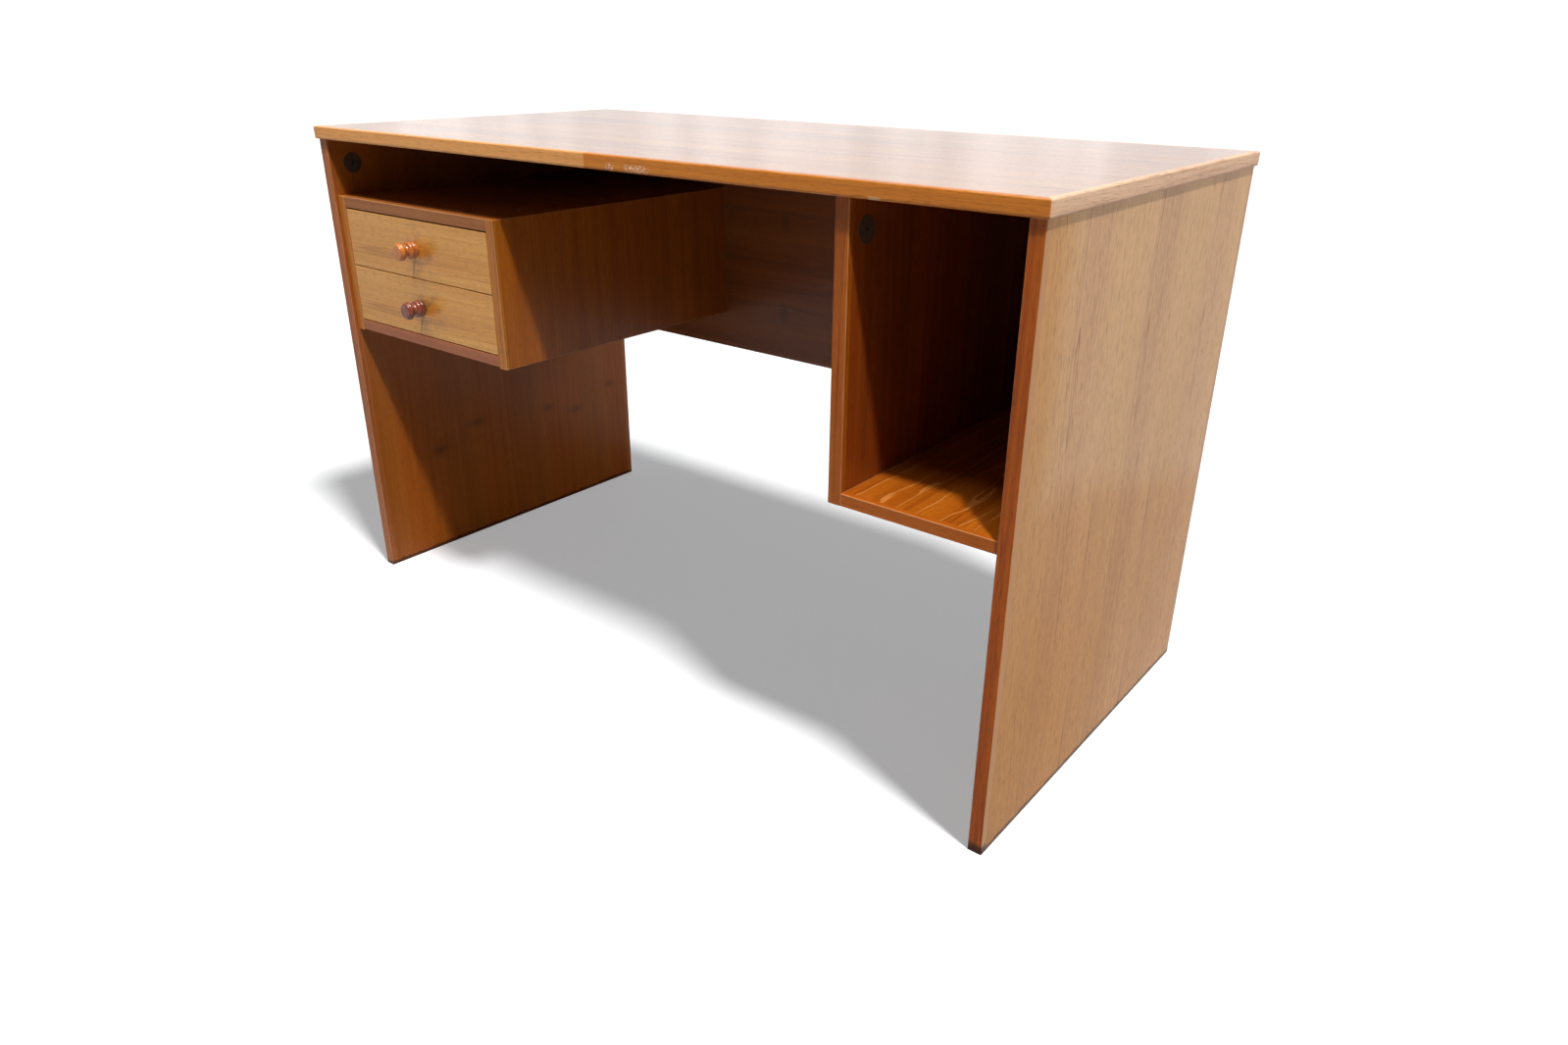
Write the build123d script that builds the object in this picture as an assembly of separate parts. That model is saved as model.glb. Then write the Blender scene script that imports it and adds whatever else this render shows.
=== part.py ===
from build123d import *
import os

# Knock-down writing desk: a lipped and veneered desktop on two slab sides, a box with two
# drawers hung inside the left side, an open compartment on the right, a panel across the back.
# Millimetres. X runs left to right, the sitter's side faces -Y, Z is up, and the origin is on
# the floor under the middle of the desk.

# ---- driving dimensions -------------------------------------------------------------------
DESK_WIDTH = 1200.0
DESK_HEIGHT = 730.0
DESK_DEPTH_WITH_KNOBS = 610.0
TOP_DEPTH = 590.0
BOARD = 18.0                  # desktop, sides and divider
TOP_SIDE_OVERHANG = 4.0
TOP_FRONT_OVERHANG = 5.0
SIDE_DEPTH = 582.0
TOP_LIPPING = 8.0             # width of the solid edge strips
SIDE_LIPPING = 10.0
THIN_LIPPING = 5.0

FRONT_SETBACK = 6.0           # drawer box, divider and shelf stand back from the sides' fronts
BACK_PANEL_REACH = 475.0      # from the sides' fronts to the back panel's near face
BACK_PANEL_BOTTOM = 364.0
BACK_PANEL_THICKNESS = 16.0

COMPARTMENT_WIDTH = 199.0
SHELF_TOP = 391.0
SHELF_THICKNESS = 15.0

BOX_WIDTH = 375.0
BOX_HEIGHT = 206.0
BOX_TOP = 630.0
BOX_BOARD = 16.0
BOX_BOTTOM_RISE = 1.5         # the bottom board sits this much above the sides' lower edges
BOX_BACK_THICKNESS = 8.0

FRONT_THICKNESS = 16.0
SIDE_GAP = 1.5                # round the inset drawer fronts
GAP_ABOVE = 2.0
GAP_BETWEEN = 1.5
DRAWER_SIDE = 12.0
DRAWER_SIDE_HEIGHT = 67.0
DRAWER_LENGTH = 400.0
DRAWER_CLEARANCE = 4.0        # between a drawer's side and the box
DRAWER_BOTTOM = 4.0
BOTTOM_TONGUE = 5.0           # how far the bottom sits in its grooves
RUNNER_WIDTH = 8.5
RUNNER_HEIGHT = 10.0
GROOVE_DEPTH = 5.5
GROOVE_HEIGHT = 11.0

KNOB_LENGTH = 31.0
CONNECTOR_RADIUS = 15.0
CONNECTOR_DEPTH = 12.5
CONNECTOR_PROUD = 0.5
CONNECTOR_DROP = 36.0         # centre below the desktop's underside
CONNECTOR_SETBACK = 38.0      # centre behind the sides' front edges

ARRIS = 1.5                   # rounding of the sides' and divider's solid edges
THIN_ARRIS = 0.8              # of the shelf's and the box's
FRONT_ARRIS = 0.5             # of the drawer fronts
TOP_ARRIS = 2.0
UNDER_ARRIS = 3.0
TOP_CORNER = 3.0              # the desktop's corners seen from above

# ---- planes worked out from them ------------------------------------------------------------
UNDERSIDE = DESK_HEIGHT - BOARD
TOP_RIGHT = DESK_WIDTH / 2
TOP_BACK = DESK_DEPTH_WITH_KNOBS / 2
TOP_FRONT = TOP_BACK - TOP_DEPTH
SIDE_FRONT = TOP_FRONT + TOP_FRONT_OVERHANG
SIDE_BACK = SIDE_FRONT + SIDE_DEPTH
SIDE_OUTER = TOP_RIGHT - TOP_SIDE_OVERHANG
SIDE_INNER = SIDE_OUTER - BOARD
FRONT = SIDE_FRONT + FRONT_SETBACK
BACK_PANEL_FRONT = SIDE_FRONT + BACK_PANEL_REACH
BACK_PANEL_BACK = BACK_PANEL_FRONT + BACK_PANEL_THICKNESS
DIVIDER_RIGHT = SIDE_INNER - COMPARTMENT_WIDTH
DIVIDER_LEFT = DIVIDER_RIGHT - BOARD
SHELF_BOTTOM = SHELF_TOP - SHELF_THICKNESS
BOX_LEFT = -SIDE_INNER
BOX_RIGHT = BOX_LEFT + BOX_WIDTH
BOX_BOTTOM = BOX_TOP - BOX_HEIGHT
BAY_LEFT = BOX_LEFT + BOX_BOARD            # the drawers' bay inside the box
BAY_RIGHT = BOX_RIGHT - BOX_BOARD
BAY_TOP = BOX_TOP - BOX_BOARD
BAY_BOTTOM = BOX_BOTTOM + BOX_BOTTOM_RISE + BOX_BOARD
BAY_MIDDLE = (BAY_LEFT + BAY_RIGHT) / 2
BOX_BACK_FRONT = BACK_PANEL_FRONT - BOX_BACK_THICKNESS

# ---- small helpers --------------------------------------------------------------------------


def span(x0, x1, y0, y1, z0, z1):
    """A plain board between two corners."""
    return Pos((x0 + x1) / 2, (y0 + y1) / 2, (z0 + z1) / 2) * Box(x1 - x0, y1 - y0, z1 - z0)


TURN = {"x": (0, 90, 0), "y": (-90, 0, 0), "z": (0, 0, 0)}


def rod(axis, centre, radius, length):
    """A round rod of the given length, centred on a point, along one axis."""
    return Pos(*centre) * Rot(*TURN[axis]) * Cylinder(radius, length)


def edges_where(part, axis, **at):
    """The straight edges along an axis that lie in the stated planes."""
    found = part.edges().filter_by(axis)
    for name, place in at.items():
        found = [e for e in found if abs(getattr(e.center(), name.upper()) - place) < 0.01]
    return found


def flush_screw(axis, head_at, sign, shank, length, head):
    """A countersunk slotted screw: the head's face lies at head_at and the shank points along
    sign * axis. Returns the screw and the hole it fills."""
    place = dict(zip("xyz", head_at))

    def at(distance):
        moved = dict(place)
        moved[axis] += sign * distance
        return (moved["x"], moved["y"], moved["z"])

    head_depth = head - shank
    turns = {"x": (0, 90 * sign, 0), "y": (-90 * sign, 0, 0), "z": (0, 0 if sign > 0 else 180, 0)}
    cone = Pos(*at(head_depth / 2)) * Rot(*turns[axis]) * Cone(head, shank, head_depth)
    hole = cone + rod(axis, at(length / 2), shank, length)
    deep, wide = 1.6, 1.0
    slots = {"x": (deep, wide, 2 * head), "y": (2 * head, deep, wide), "z": (2 * head, wide, deep)}
    return hole - Pos(*at(0)) * Box(*slots[axis]), hole


def group(solids):
    return Compound(children=list(solids))


nodes = {}

# ---- desktop: a veneered core inside five mitred solid edge strips ----------------------------


def desktop():
    x, front, back = TOP_RIGHT, TOP_FRONT, TOP_BACK
    inner_x, inner_front, inner_back = x - TOP_LIPPING, front + TOP_LIPPING, back - TOP_LIPPING
    board = span(-x, x, front, back, UNDERSIDE, DESK_HEIGHT)
    board = fillet(board.edges().filter_by(Axis.Z), TOP_CORNER)
    board = fillet(board.faces().sort_by(Axis.Z)[-1].edges(), TOP_ARRIS)
    board = fillet(board.faces().sort_by(Axis.Z)[0].edges(), UNDER_ARRIS)
    strips = {
        "front_lipping_left": [(-x, front), (0, front), (0, inner_front), (-inner_x, inner_front)],
        "front_lipping_right": [(0, front), (x, front), (inner_x, inner_front), (0, inner_front)],
        "back_lipping": [(-x, back), (-inner_x, inner_back), (inner_x, inner_back), (x, back)],
        "left_lipping": [(-x, front), (-inner_x, inner_front), (-inner_x, inner_back), (-x, back)],
        "right_lipping": [(x, front), (x, back), (inner_x, inner_back), (inner_x, inner_front)],
    }
    nodes["desktop_panel"] = span(-inner_x, inner_x, inner_front, inner_back, UNDERSIDE, DESK_HEIGHT)
    for name, corners in strips.items():
        outline = make_face(Polyline(*corners, close=True))
        nodes["desktop_" + name] = board & (Pos(0, 0, UNDERSIDE) * extrude(outline, BOARD))


# ---- slab sides: veneered core, a solid strip down the front and the back edge ----------------


def slab_side(name, outer, inner):
    x0, x1 = sorted((outer, inner))
    front = span(x0, x1, SIDE_FRONT, SIDE_FRONT + SIDE_LIPPING, 0, UNDERSIDE)
    front = fillet(edges_where(front, Axis.Z, y=SIDE_FRONT), ARRIS)
    back = span(x0, x1, SIDE_BACK - SIDE_LIPPING, SIDE_BACK, 0, UNDERSIDE)
    back = fillet(edges_where(back, Axis.Z, y=SIDE_BACK), ARRIS)
    nodes[name + "_side_panel"] = span(
        x0, x1, SIDE_FRONT + SIDE_LIPPING, SIDE_BACK - SIDE_LIPPING, 0, UNDERSIDE)
    nodes[name + "_side_front_lipping"] = front
    nodes[name + "_side_back_lipping"] = back


# ---- back panel, divider and shelf --------------------------------------------------------


def back_panel():
    strip_top = BACK_PANEL_BOTTOM + TOP_LIPPING
    x, y0, y1 = SIDE_INNER, BACK_PANEL_FRONT, BACK_PANEL_BACK
    nodes["back_panel"] = span(-x, x, y0, y1, strip_top, UNDERSIDE)
    strip = span(-x, x, y0, y1, BACK_PANEL_BOTTOM, strip_top)
    strip = fillet(edges_where(strip, Axis.X, z=BACK_PANEL_BOTTOM), ARRIS)
    nodes["back_panel_bottom_lipping"] = strip


def compartment():
    lip, back = FRONT + TOP_LIPPING, BACK_PANEL_FRONT
    x0, x1 = DIVIDER_LEFT, DIVIDER_RIGHT
    nodes["divider_panel"] = span(x0, x1, lip, back, SHELF_BOTTOM, UNDERSIDE)
    strip = span(x0, x1, FRONT, lip, SHELF_BOTTOM, UNDERSIDE)
    nodes["divider_front_lipping"] = fillet(edges_where(strip, Axis.Z, y=FRONT), ARRIS)
    nodes["compartment_shelf"] = span(x1, SIDE_INNER, lip, back, SHELF_BOTTOM, SHELF_TOP)
    strip = span(x1, SIDE_INNER, FRONT, lip, SHELF_BOTTOM, SHELF_TOP)
    nodes["shelf_front_lipping"] = fillet(edges_where(strip, Axis.X, y=FRONT), THIN_ARRIS)


# ---- drawer box -----------------------------------------------------------------------------


def drawer_box():
    lip = FRONT + THIN_LIPPING
    bottom = BOX_BOTTOM + BOX_BOTTOM_RISE
    boards = {
        "box_left_side": (BOX_LEFT, BAY_LEFT, BOX_BOTTOM, BOX_TOP),
        "box_right_side": (BAY_RIGHT, BOX_RIGHT, BOX_BOTTOM, BOX_TOP),
        "box_top": (BAY_LEFT, BAY_RIGHT, BAY_TOP, BOX_TOP),
        "box_bottom": (BAY_LEFT, BAY_RIGHT, bottom, BAY_BOTTOM),
    }
    for name, (x0, x1, z0, z1) in boards.items():
        nodes[name] = span(x0, x1, lip, BACK_PANEL_FRONT, z0, z1)
        strip = span(x0, x1, FRONT, lip, z0, z1)
        along = Axis.Z if z1 - z0 > x1 - x0 else Axis.X
        nodes[name + "_front_lipping"] = fillet(edges_where(strip, along, y=FRONT), THIN_ARRIS)
    nodes["box_back"] = span(BAY_LEFT, BAY_RIGHT, BOX_BACK_FRONT, BACK_PANEL_FRONT, BAY_BOTTOM, BAY_TOP)


# ---- drawers ----------------------------------------------------------------------------------

FRONT_HEIGHT = (BAY_TOP - BAY_BOTTOM - GAP_ABOVE - 2 * GAP_BETWEEN) / 2
DRAWER_FLOORS = {
    "lower": BAY_BOTTOM + GAP_BETWEEN,
    "upper": BAY_BOTTOM + 2 * GAP_BETWEEN + FRONT_HEIGHT,
}
DRAWER_SIDE_RISE = 5.0        # sides start this far above the front's lower edge
DRAWER_BACK_DROP = 3.0        # the back stops this far below the sides' tops
DRAWER_BOTTOM_RISE = 5.0      # the bottom is let in this far above the sides' lower edges
SIDE_ROUNDING = 2.0
RUNNER_RISE = 33.0            # runner's centre above the front's lower edge
RUNNER_DROP = 0.25            # a drawer hangs with its groove this close above the runner
RUNNER_SETBACK = 4.0          # behind the closed drawer front
RUNNER_SCREW_INSET = 60.0     # from either end of a runner
RUNNER_SCREW = (1.75, 20.0, 3.5)   # shank radius, length and head radius


def knob(centre_x, centre_z):
    """A turned cotton-reel knob standing out from the drawer front along -Y."""

    def p(radius, out):
        return (radius, FRONT - out)

    profile = Polyline(p(0, 0), p(8.5, 0), p(8.5, 1.5), p(10.8, 2.2))
    profile += ThreePointArc(p(10.8, 2.2), p(12.6, 5.2), p(11.3, 8.2))
    profile += ThreePointArc(p(11.3, 8.2), p(12.6, 11.2), p(10.8, 14.2))
    profile += ThreePointArc(p(10.8, 14.2), p(7.6, 17.6), p(10.4, 21.0))
    profile += ThreePointArc(p(10.4, 21.0), p(13.0, 24.6), p(11.6, 28.4))
    profile += ThreePointArc(p(11.6, 28.4), p(11.0, 30.1), p(9.4, KNOB_LENGTH))
    profile += Polyline(p(9.4, KNOB_LENGTH), p(0, KNOB_LENGTH), p(0, 0))
    body = revolve(make_face(profile), Axis.Y)
    return Pos(centre_x, 0, centre_z) * body


def knob_screw(centre_x, centre_z):
    """Pan-head screw through the drawer front from inside; returns screw and hole."""
    inside = FRONT + FRONT_THICKNESS
    shank_radius, bite = 2.0, 12.0
    head_radius, head_height, head_rounding = 4.0, 2.4, 1.0
    slot_half_width, slot_depth = 0.5, 1.2
    length = FRONT_THICKNESS + bite
    hole = rod("y", (centre_x, inside - length / 2, centre_z), shank_radius, length)
    head = rod("y", (centre_x, inside + head_height / 2, centre_z), head_radius, head_height)
    head = fillet(head.edges().sort_by(Axis.Y)[-1], head_rounding)
    head_top = inside + head_height
    slot = span(centre_x - head_radius, centre_x + head_radius, head_top - slot_depth, head_top,
                centre_z - slot_half_width, centre_z + slot_half_width)
    return hole + head - slot, hole


def drawer(name, floor):
    fx0, fx1 = BAY_LEFT + SIDE_GAP, BAY_RIGHT - SIDE_GAP
    sx0, sx1 = BAY_LEFT + DRAWER_CLEARANCE, BAY_RIGHT - DRAWER_CLEARANCE
    back_of_front = FRONT + FRONT_THICKNESS
    end = back_of_front + DRAWER_LENGTH
    z0 = floor + DRAWER_SIDE_RISE
    z1 = z0 + DRAWER_SIDE_HEIGHT
    bottom0 = z0 + DRAWER_BOTTOM_RISE
    bottom1 = bottom0 + DRAWER_BOTTOM
    runner_centre = floor + RUNNER_RISE
    groove0 = runner_centre - RUNNER_HEIGHT / 2 - (GROOVE_HEIGHT - RUNNER_HEIGHT - RUNNER_DROP)
    groove1 = groove0 + GROOVE_HEIGHT
    middle_z = floor + FRONT_HEIGHT / 2

    bottom = span(sx0 + DRAWER_SIDE - BOTTOM_TONGUE, sx1 - DRAWER_SIDE + BOTTOM_TONGUE,
                  back_of_front - BOTTOM_TONGUE, end, bottom0, bottom1)
    screw, screw_hole = knob_screw(BAY_MIDDLE, middle_z)
    front = span(fx0, fx1, FRONT, back_of_front, floor, floor + FRONT_HEIGHT)
    arrises = edges_where(front, Axis.X, y=FRONT) + edges_where(front, Axis.Z, y=FRONT)
    front = fillet(arrises, FRONT_ARRIS)
    nodes[name + "_drawer_front"] = front - bottom - screw_hole

    left = span(sx0, sx0 + DRAWER_SIDE, back_of_front, end, z0, z1)
    right = span(sx1 - DRAWER_SIDE, sx1, back_of_front, end, z0, z1)
    left = fillet(edges_where(left, Axis.Y, z=z1), SIDE_ROUNDING)
    right = fillet(edges_where(right, Axis.Y, z=z1), SIDE_ROUNDING)
    left_groove = span(sx0, sx0 + GROOVE_DEPTH, back_of_front, end, groove0, groove1)
    right_groove = span(sx1 - GROOVE_DEPTH, sx1, back_of_front, end, groove0, groove1)
    nodes[name + "_drawer_left_side"] = left - left_groove - bottom
    nodes[name + "_drawer_right_side"] = right - right_groove - bottom
    nodes[name + "_drawer_back"] = span(sx0 + DRAWER_SIDE, sx1 - DRAWER_SIDE, end - DRAWER_SIDE, end,
                                        bottom1, z1 - DRAWER_BACK_DROP)
    nodes[name + "_drawer_bottom"] = bottom
    nodes[name + "_drawer_knob"] = knob(BAY_MIDDLE, middle_z) - screw_hole
    nodes[name + "_knob_screw"] = screw


def runners():
    """Hardwood strips screwed to the box's sides; each drawer's grooves ride on a pair."""
    screws = []
    start = FRONT + FRONT_THICKNESS + RUNNER_SETBACK
    end = FRONT + FRONT_THICKNESS + DRAWER_LENGTH
    for level, floor in DRAWER_FLOORS.items():
        z = floor + RUNNER_RISE
        for side, wall, out in (("left", BAY_LEFT, 1), ("right", BAY_RIGHT, -1)):
            x0, x1 = sorted((wall, wall + out * RUNNER_WIDTH))
            strip = span(x0, x1, start, end, z - RUNNER_HEIGHT / 2, z + RUNNER_HEIGHT / 2)
            strip = chamfer(edges_where(strip, Axis.Z, y=start), ARRIS)
            for y in (start + RUNNER_SCREW_INSET, end - RUNNER_SCREW_INSET):
                screw, hole = flush_screw("x", (wall + out * RUNNER_WIDTH, y, z), -out, *RUNNER_SCREW)
                strip -= hole
                nodes["box_" + side + "_side"] -= hole
                screws.append(screw)
            nodes[level + "_" + side + "_runner"] = strip
    nodes["runner_screws"] = group(screws)


# ---- fixings that hold the carcass together -----------------------------------------------------

DOWEL_RADIUS = 4.0
SMALL_DOWEL_RADIUS = 3.0
DOWEL_CHAMFER = 0.6
BOLT_RADIUS = 3.0
BOLT_BITE = 12.0              # how far a bolt enters the desktop
BOLT_REACH = 8.0              # how far it enters its housing
BOLT_INSET = 9.0              # its axis behind the panel's face
BACK_CONNECTOR_INSET = 50.0
RIM_ROUNDING = 0.4
KEY_LONG, KEY_WIDE, KEY_DEEP = 9.0, 2.0, 5.0   # the cross slot in each housing's face
LONG_SCREW = (2.25, 45.0, 4.25)                # shank radius, length and head radius
BOX_SCREW = (2.25, 28.0, 4.25)


def connectors():
    """Round plastic housings let into the panels' inner faces, each gripping a steel bolt that
    is screwed into the underside of the desktop."""
    z = UNDERSIDE - CONNECTOR_DROP
    side_ys = (SIDE_FRONT + CONNECTOR_SETBACK, SIDE_BACK - BACK_CONNECTOR_INSET)
    divider_ys = (SIDE_FRONT + CONNECTOR_SETBACK, BACK_PANEL_FRONT - BACK_CONNECTOR_INSET)
    panels = (("left_side_panel", -SIDE_INNER, 1, side_ys),
              ("divider_panel", DIVIDER_RIGHT, 1, divider_ys),
              ("right_side_panel", SIDE_INNER, -1, side_ys))
    housings, bolts = [], []
    for panel, face, out, ys in panels:
        for y in ys:
            middle = face + out * (CONNECTOR_PROUD - CONNECTOR_DEPTH) / 2
            housing = rod("x", (middle, y, z), CONNECTOR_RADIUS, CONNECTOR_DEPTH + CONNECTOR_PROUD)
            nodes[panel] -= housing
            rim = housing.edges().filter_by(GeomType.CIRCLE).sort_by(Axis.X)[-1 if out > 0 else 0]
            key = Box(KEY_DEEP, KEY_LONG, KEY_WIDE) + Box(KEY_DEEP, KEY_WIDE, KEY_LONG)
            bolt_end = z + CONNECTOR_RADIUS - BOLT_REACH
            length = UNDERSIDE + BOLT_BITE - bolt_end
            bolt = rod("z", (face - out * BOLT_INSET, y, bolt_end + length / 2), BOLT_RADIUS, length)
            nodes[panel] -= bolt
            nodes["desktop_panel"] -= bolt
            housings.append(fillet(rim, RIM_ROUNDING) - Pos(face, y, z) * key - bolt)
            bolts.append(bolt)
    nodes["connector_housings"] = group(housings)
    nodes["connector_bolts"] = group(bolts)


def dowel_group(name, axis, radius, length, bite, places):
    """Dowels across a joint. Each place names the board that is entered by bite, the board that
    takes the rest, the point where the dowel crosses the joint, and its sense along the axis."""
    dowels = []
    for first, second, point, sense in places:
        centre = dict(zip("xyz", point))
        centre[axis] += sense * (length / 2 - bite)
        dowel = rod(axis, (centre["x"], centre["y"], centre["z"]), radius, length)
        nodes[first] -= dowel
        nodes[second] -= dowel
        dowels.append(chamfer(dowel.edges().filter_by(GeomType.CIRCLE), DOWEL_CHAMFER))
    nodes[name] = group(dowels)


def dowels():
    panel_y = (BACK_PANEL_FRONT + BACK_PANEL_BACK) / 2
    dowel_group("back_panel_dowels", "x", DOWEL_RADIUS, 30.0, 11.0, [
        (side + "_side_panel", "back_panel", (sense * -SIDE_INNER, panel_y, z), sense)
        for side, sense in (("left", 1), ("right", -1)) for z in (400.0, 540.0, 680.0)])
    shelf_z = (SHELF_TOP + SHELF_BOTTOM) / 2
    dowel_group("shelf_dowels", "x", SMALL_DOWEL_RADIUS, 26.0, 10.0, [
        (board, "compartment_shelf", (x, y, shelf_z), sense)
        for board, x, sense in (("divider_panel", DIVIDER_RIGHT, 1), ("right_side_panel", SIDE_INNER, -1))
        for y in (FRONT + 50.0, BACK_PANEL_FRONT - 50.0)])
    box_levels = (("box_top", BOX_TOP - BOX_BOARD / 2), ("box_bottom", BAY_BOTTOM - BOX_BOARD / 2))
    dowel_group("box_dowels", "x", SMALL_DOWEL_RADIUS, 26.0, 10.0, [
        ("box_" + side + "_side", board, (x, y, z), sense)
        for board, z in box_levels
        for side, x, sense in (("left", BAY_LEFT, 1), ("right", BAY_RIGHT, -1))
        for y in (FRONT + 60.0, BACK_PANEL_FRONT - 60.0)])


def long_screws():
    """Screws from inside the bay into the left side, and from behind into box and divider."""
    screws = []
    for y in (FRONT + 64.0, BACK_PANEL_FRONT - 65.0):
        for z in (DRAWER_FLOORS["upper"] - 6.0, BAY_TOP - 8.0):
            screw, hole = flush_screw("x", (BAY_LEFT, y, z), -1, *BOX_SCREW)
            nodes["box_left_side"] -= hole
            nodes["left_side_panel"] -= hole
            screws.append(screw)
    nodes["drawer_box_screws"] = group(screws)
    screws = []
    box_x = BOX_RIGHT - BOX_BOARD / 2
    divider_x = (DIVIDER_LEFT + DIVIDER_RIGHT) / 2
    for board, x, levels in (("box_right_side", box_x, (BOX_BOTTOM + 40.0, BOX_TOP - 40.0)),
                             ("divider_panel", divider_x, (SHELF_BOTTOM + 50.0, UNDERSIDE - 60.0))):
        for z in levels:
            screw, hole = flush_screw("y", (x, BACK_PANEL_BACK, z), -1, *LONG_SCREW)
            nodes["back_panel"] -= hole
            nodes[board] -= hole
            screws.append(screw)
    nodes["back_panel_screws"] = group(screws)


# ---- build and write ------------------------------------------------------------------------

desktop()
slab_side("left", -SIDE_OUTER, -SIDE_INNER)
slab_side("right", SIDE_OUTER, SIDE_INNER)
back_panel()
compartment()
drawer_box()
for drawer_name, drawer_floor in DRAWER_FLOORS.items():
    drawer(drawer_name, drawer_floor)
runners()
connectors()
dowels()
long_screws()

os.makedirs("parts", exist_ok=True)
for node_name, solid in nodes.items():
    export_step(solid, "parts/" + node_name + ".step")
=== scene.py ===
import math

import bpy
from mathutils import Matrix, Vector


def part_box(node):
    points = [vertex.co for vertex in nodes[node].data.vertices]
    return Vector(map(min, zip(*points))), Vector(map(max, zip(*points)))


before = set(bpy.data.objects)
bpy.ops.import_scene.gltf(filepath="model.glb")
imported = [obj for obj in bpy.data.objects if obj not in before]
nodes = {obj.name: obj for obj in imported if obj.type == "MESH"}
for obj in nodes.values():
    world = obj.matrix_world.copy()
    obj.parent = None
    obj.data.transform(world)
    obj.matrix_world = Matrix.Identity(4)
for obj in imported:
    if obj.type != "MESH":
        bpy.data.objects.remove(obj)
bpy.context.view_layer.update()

# ---- Where the desk stands ---------------------------------------------------------------------
# A standing person's view of the desk from in front of its right corner, on a pale floor under
# soft studio light: a key light from high on the front right, softboxes round it, a white room.

scene = bpy.context.scene
scene.view_settings.view_transform = "Standard"

EYE = Vector((1.0147, -1.1771, 0.8548))
TURNED_LEFT, LOOKING_DOWN, TILTED = (math.radians(a) for a in (38.41, 24.37, 0.46))
SENSOR, LENS = 36.0, 24.56

ahead = Vector((-math.sin(TURNED_LEFT) * math.cos(LOOKING_DOWN),
                math.cos(TURNED_LEFT) * math.cos(LOOKING_DOWN),
                -math.sin(LOOKING_DOWN)))
level = ahead.cross(Vector((0, 0, 1))).normalized()
upright = level.cross(ahead)
right = level * math.cos(TILTED) + upright * math.sin(TILTED)
above = upright * math.cos(TILTED) - level * math.sin(TILTED)
camera_data = bpy.data.cameras.new("camera")
camera_data.lens = LENS
camera_data.sensor_width = SENSOR
camera = bpy.data.objects.new("camera", camera_data)
scene.collection.objects.link(camera)
camera.matrix_world = Matrix((
    (right.x, above.x, -ahead.x, EYE.x),
    (right.y, above.y, -ahead.y, EYE.y),
    (right.z, above.z, -ahead.z, EYE.z),
    (0, 0, 0, 1)))
scene.camera = camera


def add(tree, kind, inputs=None, **settings):
    """A shader node with its settings and inputs; an input is a value or another node's output."""
    made = tree.nodes.new(kind)
    for key, value in settings.items():
        setattr(made, key, value)
    for key, value in (inputs or {}).items():
        if isinstance(value, bpy.types.NodeSocket):
            tree.links.new(value, made.inputs[key])
        else:
            made.inputs[key].default_value = value
    return made


def paint(red, green, blue):
    """A colour given as 0 to 255 on a paint chart, as linear light."""
    return [(c / 255 / 12.92 if c <= 10 else ((c / 255 + 0.055) / 1.055) ** 2.4)
            for c in (red, green, blue)] + [1.0]


def new_finish(name):
    """An empty node material, its tree and shader, and each point's place on the desk in metres."""
    finish = bpy.data.materials.new(name)
    finish.use_nodes = True
    tree = finish.node_tree
    where = add(tree, "ShaderNodeTexCoord").outputs["Object"]
    return finish, tree, tree.nodes["Principled BSDF"], where


def math_node(tree, operation, a, b=0.0):
    """The result of one sum on numbers or on other nodes' outputs."""
    return add(tree, "ShaderNodeMath", {0: a, 1: b}, operation=operation).outputs[0]


def plus(tree, a, b):
    return math_node(tree, "ADD", a, b)


def minus(tree, a, b):
    return math_node(tree, "SUBTRACT", a, b)


def times(tree, a, b):
    return math_node(tree, "MULTIPLY", a, b)


def divide(tree, a, b):
    return math_node(tree, "DIVIDE", a, b)


def lamp(name, kind, aim, energy, place=(0, 0, 3), **settings):
    """A lamp shining along aim."""
    data = bpy.data.lights.new(name, kind)
    data.energy = energy
    for key, value in settings.items():
        setattr(data, key, value)
    made = bpy.data.objects.new(name, data)
    made.matrix_world = (Matrix.Translation(place)
                         @ Vector(aim).to_track_quat("-Z", "Y").to_matrix().to_4x4())
    scene.collection.objects.link(made)
    return made


def group_of(name, things):
    """A collection that a lamp's light can be kept to."""
    group = bpy.data.collections.new(name)
    for thing in things:
        group.objects.link(thing)
    return group


def pale_floor():
    """A wide matt floor, as in a white studio."""
    mesh = bpy.data.meshes.new("floor")
    half = 30.0
    mesh.from_pydata([(-half, -half, 0), (half, -half, 0), (half, half, 0), (-half, half, 0)],
                     [], [(0, 1, 2, 3)])
    floor = bpy.data.objects.new("floor", mesh)
    scene.collection.objects.link(floor)
    finish, tree, shader, where = new_finish("pale_floor")
    cloud = add(tree, "ShaderNodeTexNoise", {"Vector": where, "Scale": 0.7, "Detail": 2.0})
    shade = add(tree, "ShaderNodeMapRange",
                {"Value": cloud.outputs["Fac"], "To Min": 0.80, "To Max": 0.84}).outputs["Result"]
    # It looks white, but lets little light back up, so that the desk keeps its dark inside.
    returned, glow = 0.60, 0.325
    seen = add(tree, "ShaderNodeLightPath").outputs["Is Camera Ray"]
    level = times(tree, shade, plus(tree, returned, times(tree, seen, 1.0 - returned)))
    colour = add(tree, "ShaderNodeCombineColor", {0: level, 1: level, 2: level})
    tree.links.new(colour.outputs[0], shader.inputs["Base Color"])
    shader.inputs["Emission Color"].default_value = (0.95, 1.0, 1.03, 1)
    tree.links.new(times(tree, seen, glow), shader.inputs["Emission Strength"])
    shader.inputs["Roughness"].default_value = 0.9
    shader.inputs["Specular IOR Level"].default_value = 0.1
    mesh.materials.append(finish)
    return floor


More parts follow.
